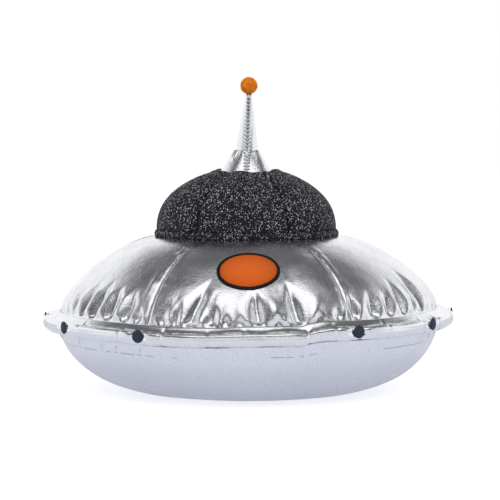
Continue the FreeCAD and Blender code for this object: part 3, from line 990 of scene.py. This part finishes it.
class SAUCER_OT_dome_hem(bpy.types.Operator):
    """The dome's rolled edge, a little uneven where it is drawn in"""

    bl_idname = "saucer.dome_hem"
    bl_label = "Dome hem"

    def execute(self, context):
        ring = [(HEM_CENTRE[0] + HEM_RADIUS * math.cos(turn), HEM_CENTRE[1] + HEM_RADIUS * math.sin(turn))
                for turn in np.linspace(-math.pi, math.pi, 33)]
        outline = Outline(ring)
        bm = lathe(outline, list(outline.along[:-1]) + [outline.length], 360)

        def relief(bearing, along, radius):
            lift = 0.35 * MM * waves(bearing, along, 47, 6, (9, 40), 0.4)
            lift -= 0.5 * MM * bell(seam_distance(bearing, radius), 1.4 * MM)
            top = ramp(np.sin(along / HEM_RADIUS - math.pi), 0.2, 1)
            return lift - 0.35 * MM * (1 + np.sin(46 * bearing)) * top

        carve(bm, outline, relief)
        bmesh.ops.remove_doubles(bm, verts=bm.verts, dist=0.01 * MM)
        bmesh.ops.recalc_face_normals(bm, faces=bm.faces)
        lean(bm, DOME_SHIFT, turn=DOME_TURN)
        add_piece("dome_hem_cloth", bm, glitter_finish("glitter_hem"), ["dome_hem_roll"])
        return {"FINISHED"}


# ---- spire ----
STITCH_PITCH = 3.6 * MM
SPIRE_LEAN = (-2.2 * MM, 0.4 * MM, COLLAR_LOW.z, POMPOM_LOW.z)


def cone_radius(node, height):
    """A tapered CAD sleeve's outer radius at a height."""
    hit = node_surface(node).ray_cast(Vector((0.5, 0.0002, height)), Vector((-1, 0, 0)))[0]
    return hit.x


def seam_relief(bearing, along, radius):
    """A hand-closed seam down the front: a groove between two rows of puckered cloth."""
    across = bearing * radius
    ladder = np.cos(along / STITCH_PITCH * math.tau)
    pillows = bell(np.abs(across) - 1.5 * MM, 1.0 * MM) * (0.55 + 0.45 * ladder)
    return 0.7 * MM * pillows - 1.1 * MM * bell(across, 0.8 * MM)


class SAUCER_OT_spire(bpy.types.Operator):
    """The spire's wide collar, and the slim mast tucked into it"""

    bl_idname = "saucer.spire"
    bl_label = "Spire"

    def execute(self, context):
        self.collar()
        self.mast()
        return {"FINISHED"}

    def collar(self):
        foot = cone_radius("spire_collar", COLLAR_LOW.z + 0.2 * MM) + 1.2 * MM
        top = cone_radius("spire_collar", COLLAR_HIGH.z - 0.2 * MM)
        points = [(foot + 0.2 * MM, COLLAR_LOW.z - 0.5 * MM), (foot, COLLAR_LOW.z)]
        points += [(foot + (top - foot) * share, COLLAR_LOW.z + (COLLAR_HIGH.z - COLLAR_LOW.z) * share)
                   for share in np.linspace(0.04, 0.95, 40)]
        rim = [(0.3, -0.2), (0.0, 0.3), (-0.6, 0.5), (-1.1, 0.0), (-1.3, -1.5)]
        points += [(top + run * MM, COLLAR_HIGH.z + rise * MM) for run, rise in rim]
        outline = Outline(points, smoothing=1)

        def relief(bearing, along, radius):
            drape = 0.9 * MM * waves(bearing, along, 53, 5, (2, 6), 0.05)
            flap = 0.9 * MM * ramp(wrap(bearing + 0.75), 0, -0.12) * ramp(wrap(bearing + 1.7), 0, 0.5)
            flap *= ramp(along, outline.length - 16 * MM, outline.length - 9 * MM)
            fade = ramp(along, 0, 5 * MM) * ramp(outline.length - along, 0, 4 * MM)
            return (drape + flap + seam_relief(bearing, along, radius)) * fade

        bm = lathe(outline, outline.spaced([(outline.length, 0.6 * MM)]), 300)
        carve(bm, outline, relief)
        lean(bm, *SPIRE_LEAN)
        add_piece("spire_collar_cloth", bm, foil_finish("foil_collar", 0.2), ["spire_collar"],
                  0.6 * MM)

    def mast(self):
        foot = cone_radius("spire_mast_sleeve", MAST_LOW.z + 0.2 * MM)
        tip = cone_radius("spire_mast_sleeve", MAST_HIGH.z - 0.2 * MM)
        points = [(foot + (tip - foot) * share, MAST_LOW.z + (MAST_HIGH.z - MAST_LOW.z) * share)
                  for share in np.linspace(0, 0.985, 90)]
        points += [(tip - run * MM, MAST_HIGH.z + rise * MM)
                   for run, rise in ((0.3, 0.1), (1.2, 0.4), (2.2, 0.4))]
        outline = Outline(points, smoothing=1)

        def relief(bearing, along, radius):
            slim = ramp(outline.length - along, 0, 12 * MM)
            drape = 0.35 * MM * waves(bearing, along, 59, 4, (2, 4), 0.06)
            fade = ramp(outline.length - along, 0, 5 * MM)
            return drape * slim + seam_relief(bearing, along, radius) * fade

        bm = lathe(outline, outline.spaced([(outline.length, 0.5 * MM)]), 120)
        carve(bm, outline, relief)
        lean(bm, *SPIRE_LEAN)
        add_piece("spire_mast_cloth", bm, foil_finish("foil_mast", 0.2), ["spire_mast_sleeve"],
                  0.6 * MM)


class SAUCER_OT_spire_seam(bpy.types.Operator):
    """Slanting thread stitches that cross the spire's front seam"""

    bl_idname = "saucer.spire_seam"
    bl_label = "Spire seam stitches"

    def execute(self, context):
        bm = bmesh.new()
        self.row(bm, "spire_collar", COLLAR_LOW.z + 4.5 * MM, COLLAR_HIGH.z - 1 * MM, 0.9)
        self.row(bm, "spire_mast_sleeve", COLLAR_HIGH.z + 1.5 * MM, MAST_HIGH.z - 3 * MM, 0.75)
        lean(bm, *SPIRE_LEAN)
        finish = thread_finish("silver_thread", (0.26, 0.27, 0.29))
        add_piece("spire_seam_thread", bm, finish, ["spire_seam_stitches"])
        return {"FINISHED"}

    def row(self, bm, node, low, high, spread):
        """Pairs of stitches that meet in a V, one pair to each pitch."""
        low_radius, high_radius = cone_radius(node, low), cone_radius(node, high)
        flare = math.atan((low_radius - high_radius) / (high - low))
        pitch = STITCH_PITCH * math.cos(flare)
        for step in range(int((high - low) / pitch)):
            height = low + pitch * (step + 0.5)
            radius = low_radius + (high_radius - low_radius) * (height - low) / (high - low)
            for side in (-1, 1):
                made = bmesh.ops.create_uvsphere(bm, u_segments=8, v_segments=6, radius=1)["verts"]
                shape = Matrix.Diagonal((0.42 * MM, 0.42 * MM, 1.75 * MM, 1))
                slant = Matrix.Rotation(0.55 * side, 4, "Y")
                tip_back = Matrix.Rotation(-flare, 4, "X")
                place = Matrix.Translation((side * spread * MM, -radius - 0.45 * MM, height))
                bmesh.ops.transform(bm, matrix=place @ tip_back @ slant @ shape, verts=made)


class SAUCER_OT_pompom(bpy.types.Operator):
    """A ball of short orange pile on the spire's tip"""

    bl_idname = "saucer.pompom"
    bl_label = "Pompom"

    def execute(self, context):
        centre = (POMPOM_LOW + POMPOM_HIGH) / 2
        radius = (POMPOM_HIGH.z - POMPOM_LOW.z) / 2
        tuft = sizes().tuft_length
        core = radius - 0.38 * tuft
        chance = np.random.default_rng(61)
        bm = bmesh.new()
        bmesh.ops.create_icosphere(bm, subdivisions=5, radius=core)
        lumps = chance.normal(size=(26, 3))
        lumps /= np.linalg.norm(lumps, axis=1)[:, None]
        for vertex in bm.verts:
            near = max(0, max(vertex.co.normalized().dot(Vector(lump)) for lump in lumps) - 0.9) / 0.1
            vertex.co *= 1 + 0.07 * near - 0.03
        count = 1500
        for number in range(count):
            height = 1 - 2 * (number + 0.5) / count
            turn = number * math.pi * (3 - math.sqrt(5))
            flat = math.sqrt(1 - height * height)
            out = Vector((flat * math.cos(turn), flat * math.sin(turn), height))
            aim = (out + Vector(chance.normal(size=3)) * 0.28).normalized()
            reach = tuft * chance.uniform(0.7, 1.15)
            made = bmesh.ops.create_cone(bm, segments=4, radius1=0.26 * MM, radius2=0.09 * MM,
                                         depth=reach)["verts"]
            turn_to = aim.to_track_quat("Z", "Y").to_matrix().to_4x4()
            place = Matrix.Translation(out * (core * 0.98) + aim * reach * 0.45)
            bmesh.ops.transform(bm, matrix=place @ turn_to, verts=made)
        bmesh.ops.translate(bm, vec=centre, verts=bm.verts)
        lean(bm, SPIRE_LEAN[1])
        add_piece("pompom_pile", bm, pile_finish("orange_pile", colours().pile), ["pompom"])
        return {"FINISHED"}


class SAUCER_OT_inside(bpy.types.Operator):
    """Fillings, foam, cords and threads: what the cloth covers"""

    bl_idname = "saucer.inside"
    bl_label = "Inside"

    def execute(self, context):
        fibre = fibre_finish("fibre_fill", (0.86, 0.86, 0.84), 6 * MM, 1.5 * MM)
        self.filling("saucer_filling", "saucer_stuffing", fibre, "fibre_fill", 6 * MM, 5 * MM)
        self.filling("dome_filling", "dome_stuffing", fibre, "fibre_fill", 3 * MM, 4 * MM)
        foam = fibre_finish("band_foam", (0.86, 0.83, 0.70), 1.2 * MM, 0.4 * MM)
        self.foam_ring(foam)
        self.filling("collar_filling", "spire_collar_stuffing", fibre, "fibre_fill", 0.8 * MM, 1.5 * MM)
        felt = fibre_finish("mast_wadding", (0.80, 0.80, 0.77), 2 * MM, 0.3 * MM)
        self.filling("mast_wadding", "spire_mast_core", felt, "felt_core", 0.6 * MM, 1.5 * MM)
        self.hem_cord()
        plain = {
            "rim_button_shanks": thread_finish("button_shank", (0.7, 0.7, 0.7), 0.4),
            "rim_button_ties": thread_finish("tie_thread", (0.75, 0.75, 0.78), 0.6),
            "pompom_tie": thread_finish("pompom_thread", (0.75, 0.75, 0.78), 0.6),
        }
        for node, finish in plain.items():
            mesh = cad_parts[node].data
            mesh.materials.clear()
            mesh.materials.append(finish)
        return {"FINISHED"}

    def filling(self, name, node, finish, slot, inset, spacing):
        """The filling's outside, drawn in under the cloth's gathers and a little lumpy."""
        low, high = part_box(node)
        middle = (low.z + high.z) / 2
        hits = cast_outline(node, middle, degrees(-88, 88, 180), GORE_TURN / 4)
        outline = Outline([(0.01 * MM, low.z)] + hits + [(0.01 * MM, high.z)], smoothing=3)
        bm = lathe(outline, outline.spaced([(outline.length, spacing)]), 120)

        def relief(bearing, along, radius):
            return -inset + MM * waves(bearing, along, 67, 6, (4, 15), 0.04)

        carve(bm, outline, relief)
        bmesh.ops.remove_doubles(bm, verts=bm.verts, dist=0.2 * MM)
        if low.z >= COLLAR_LOW.z - MM:
            lean(bm, *SPIRE_LEAN)
        elif low.z > HEM_LOW.z - MM:
            lean(bm, DOME_SHIFT)
        add_piece(name, bm, finish, [node])

    def hem_cord(self):
        """Three strands of soft cord, laid round inside the hem."""
        low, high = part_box("dome_hem_cord")
        radius = (high.z - low.z) / 2
        bm = bmesh.new()
        for strand in range(3):
            ring = bmesh.ops.create_circle(bm, segments=8, radius=radius * 0.5)["verts"]
            bmesh.ops.rotate(bm, matrix=Matrix.Rotation(math.pi / 2, 3, "X"), verts=ring)
            bmesh.ops.translate(bm, vec=(high.x - radius, 0, 0), verts=ring)
            edges = list({edge for vertex in ring for edge in vertex.link_edges})
            bmesh.ops.spin(bm, geom=ring + edges, cent=(0, 0, 0), axis=UP, angle=math.tau, steps=360,
                           use_merge=True)
            made = [vertex for vertex in bm.verts if not vertex.tag]
            for vertex in made:
                twist = math.atan2(vertex.co.y, vertex.co.x) * 40 + strand * math.tau / 3
                out = vertex.co.xy.normalized()
                vertex.co += Vector((out.x, out.y, 0)) * radius * 0.48 * math.cos(twist)
                vertex.co.z += radius * 0.48 * math.sin(twist)
                vertex.tag = True
        bmesh.ops.translate(bm, vec=(DOME_SHIFT, 0, (low.z + high.z) / 2), verts=bm.verts)
        bmesh.ops.recalc_face_normals(bm, faces=bm.faces)
        add_piece("hem_cord", bm, thread_finish("cotton_cord", (0.8, 0.77, 0.7), 0.85),
                  ["dome_hem_cord"])

    def foam_ring(self, finish):
        """The band's padding, drawn slim so that it stays clear of the creases and dimples."""
        section = np.array(band_points())
        middle = np.array([COVER_REACH + 7 * MM, RIM_Z - 0.5 * MM])
        small = middle + (section - middle) * 0.4
        outline = Outline(np.concatenate([small, small[:1]]))
        bm = lathe(outline, outline.spaced([(outline.length, 1.5 * MM)]), 240)
        carve(bm, outline, lambda bearing, along, radius: 0 * along, sizes().rim_waver)
        bmesh.ops.remove_doubles(bm, verts=bm.verts, dist=0.05 * MM)
        bmesh.ops.recalc_face_normals(bm, faces=bm.faces)
        add_piece("rim_band_foam", bm, finish, ["rim_foam_ring"])


# ================================================================ stage
FLOOR_GLOW = 0.60
MIRRORED_FLOOR_GLOW = 0.39
CAMERA_PLACE = (1.5 * MM, -2.0, 0.252)
CAMERA_PITCH = math.radians(3.33)
CAMERA_LENS = 147.6


class SAUCER_OT_stage(bpy.types.Operator):
    """A white studio: pale floor, soft box, plain surroundings and the camera"""

    bl_idname = "saucer.stage"
    bl_label = "Stage"

    def execute(self, context):
        self.floor()
        self.surroundings()
        self.lamp("top_softbox", place=(0.0, -1.1, 1.75), size=(2.0, 2.0), power=17)
        self.camera()
        return {"FINISHED"}

    def floor(self):
        bm = bmesh.new()
        bmesh.ops.create_grid(bm, x_segments=1, y_segments=1, size=9)
        bmesh.ops.translate(bm, vec=(0, 0, BASE_Z - 0.3 * MM), verts=bm.verts)
        mesh = bpy.data.meshes.new("floor")
        bm.to_mesh(mesh)
        bm.free()
        floor = bpy.data.objects.new("floor", mesh)
        bpy.context.scene.collection.objects.link(floor)
        finish = Finish("floor_paper")
        tree = finish.tree
        paths = finish.add("ShaderNodeLightPath")
        seen, mirrored = paths.outputs["Is Camera Ray"], paths.outputs["Is Glossy Ray"]
        glow = finish.add("ShaderNodeEmission", Color=finish.mix(mirrored, (1, 1, 1), (0.87, 0.89, 1)))
        strength = finish.maths("MULTIPLY_ADD", seen, FLOOR_GLOW)
        finish.set(strength.node.inputs[2], finish.maths("MULTIPLY", mirrored, MIRRORED_FLOOR_GLOW))
        finish.set(glow.inputs["Strength"], strength)
        total = finish.add("ShaderNodeAddShader")
        finish.surface(Base_Color=finish.mix(mirrored, (0.9, 0.9, 0.91), (0.55, 0.56, 0.60)), Roughness=0.9,
                       Specular_IOR_Level=0.1)
        tree.links.new(finish.shader.outputs[0], total.inputs[0])
        tree.links.new(glow.outputs[0], total.inputs[1])
        tree.links.new(total.outputs[0], tree.nodes["Material Output"].inputs["Surface"])
        mesh.materials.append(finish.material)

    def surroundings(self):
        """White at eye level and dark overhead, with a soft lamp that only shiny cloth mirrors."""
        world = bpy.data.worlds.new("studio")
        bpy.context.scene.world = world
        world.use_nodes = True
        world.node_tree.nodes.clear()
        studio = Nodes(world.node_tree)
        coords = studio.add("ShaderNodeTexCoord").outputs["Generated"]
        across, back, up = studio.add("ShaderNodeSeparateXYZ", Vector=coords).outputs[:3]
        ahead = studio.between(back, -0.1, -0.6)
        overhead = studio.between(up, 0.50, 0.70)
        low_front = studio.mix(studio.between(up, 0.01, 0.10), (0.70, 0.71, 0.78), (0.98, 0.98, 0.99))
        level = studio.mix(ahead, (1.1, 1.1, 1.11), low_front)
        gap = studio.maths("MULTIPLY", studio.between(up, 0.17, 0.27), ahead)
        mirror = studio.mix(overhead, level, (0.145, 0.145, 0.147))
        mirror = studio.mix(gap, mirror, (0.07, 0.07, 0.07))
        aside = studio.maths("ABSOLUTE", studio.maths("DIVIDE", across, up))
        onward = studio.maths("DIVIDE", back, up)
        lamp = studio.maths("MULTIPLY", studio.between(aside, 0.78, 0.52), studio.between(onward, 0.12, -0.14))
        lamp = studio.maths("MULTIPLY", lamp, studio.between(onward, -1.55, -1.2))
        lamp = studio.maths("MULTIPLY", lamp, studio.between(up, 0.1, 0.3))
        mirror = studio.mix(lamp, mirror, (1.35, 1.35, 1.34))
        paths = studio.add("ShaderNodeLightPath").outputs
        shiny = studio.maths("MAXIMUM", paths["Is Glossy Ray"], paths["Is Transmission Ray"])
        ambient = studio.mix(shiny, (0.58, 0.58, 0.59), mirror)
        seen = studio.mix(paths["Is Camera Ray"], ambient, (1.0, 1.0, 1.0))
        background = studio.add("ShaderNodeBackground", Color=seen, Strength=1.0)
        studio.add("ShaderNodeOutputWorld", Surface=background.outputs[0])

    def lamp(self, name, place, size, power):
        data = bpy.data.lights.new(name, "AREA")
        data.shape = "RECTANGLE"
        data.size, data.size_y = size
        data.energy = power
        lamp = bpy.data.objects.new(name, data)
        lamp.location = place
        aim = Vector((0, 0, 0.1)) - Vector(place)
        lamp.rotation_euler = aim.to_track_quat("-Z", "Y").to_euler()
        lamp.visible_glossy = False
        bpy.context.scene.collection.objects.link(lamp)

    def camera(self):
        """A long lens at table height, tipped slightly down."""
        data = bpy.data.cameras.new("camera")
        data.sensor_width = 36
        data.lens = CAMERA_LENS
        data.clip_end = 50
        camera = bpy.data.objects.new("camera", data)
        camera.location = CAMERA_PLACE
        camera.rotation_euler = (math.pi / 2 - CAMERA_PITCH, 0, 0)
        bpy.context.scene.collection.objects.link(camera)
        bpy.context.scene.camera = camera
        bpy.context.scene.view_settings.view_transform = "Standard"


class SAUCER_PT_build(bpy.types.Panel):
    """Lists the toy's pieces in the order in which they are made"""

    bl_idname = "SAUCER_PT_build"
    bl_label = "Flying saucer"
    bl_space_type = "VIEW_3D"
    bl_region_type = "UI"
    bl_category = "Saucer"

    def draw(self, context):
        for group in (context.scene.saucer_sizes, context.scene.saucer_colours):
            box = self.layout.box()
            for key in group.__annotations__:
                box.prop(group, key)
        for operator in PIECES:
            self.layout.operator(operator.bl_idname)


PIECES = (
    SAUCER_OT_stage,
    SAUCER_OT_top_cover,
    SAUCER_OT_lower_cover,
    SAUCER_OT_rim_band,
    SAUCER_OT_rim_buttons,
    SAUCER_OT_emblem,
    SAUCER_OT_dome,
    SAUCER_OT_dome_hem,
    SAUCER_OT_spire,
    SAUCER_OT_spire_seam,
    SAUCER_OT_pompom,
    SAUCER_OT_inside,
)
CLASSES = (SaucerSizes, SaucerColours, *PIECES, SAUCER_PT_build)


def register():
    for cls in CLASSES:
        bpy.utils.register_class(cls)
    bpy.types.Scene.saucer_sizes = bpy.props.PointerProperty(type=SaucerSizes)
    bpy.types.Scene.saucer_colours = bpy.props.PointerProperty(type=SaucerColours)


def unregister():
    del bpy.types.Scene.saucer_colours
    del bpy.types.Scene.saucer_sizes
    for cls in reversed(CLASSES):
        bpy.utils.unregister_class(cls)


def main():
    register()
    bpy.ops.saucer.stage()
    bpy.ops.saucer.top_cover()
    bpy.ops.saucer.lower_cover()
    bpy.ops.saucer.rim_band()
    bpy.ops.saucer.rim_buttons()
    bpy.ops.saucer.emblem()
    bpy.ops.saucer.dome()
    bpy.ops.saucer.dome_hem()
    bpy.ops.saucer.spire()
    bpy.ops.saucer.spire_seam()
    bpy.ops.saucer.pompom()
    bpy.ops.saucer.inside()


if __name__ == "__main__":
    main()
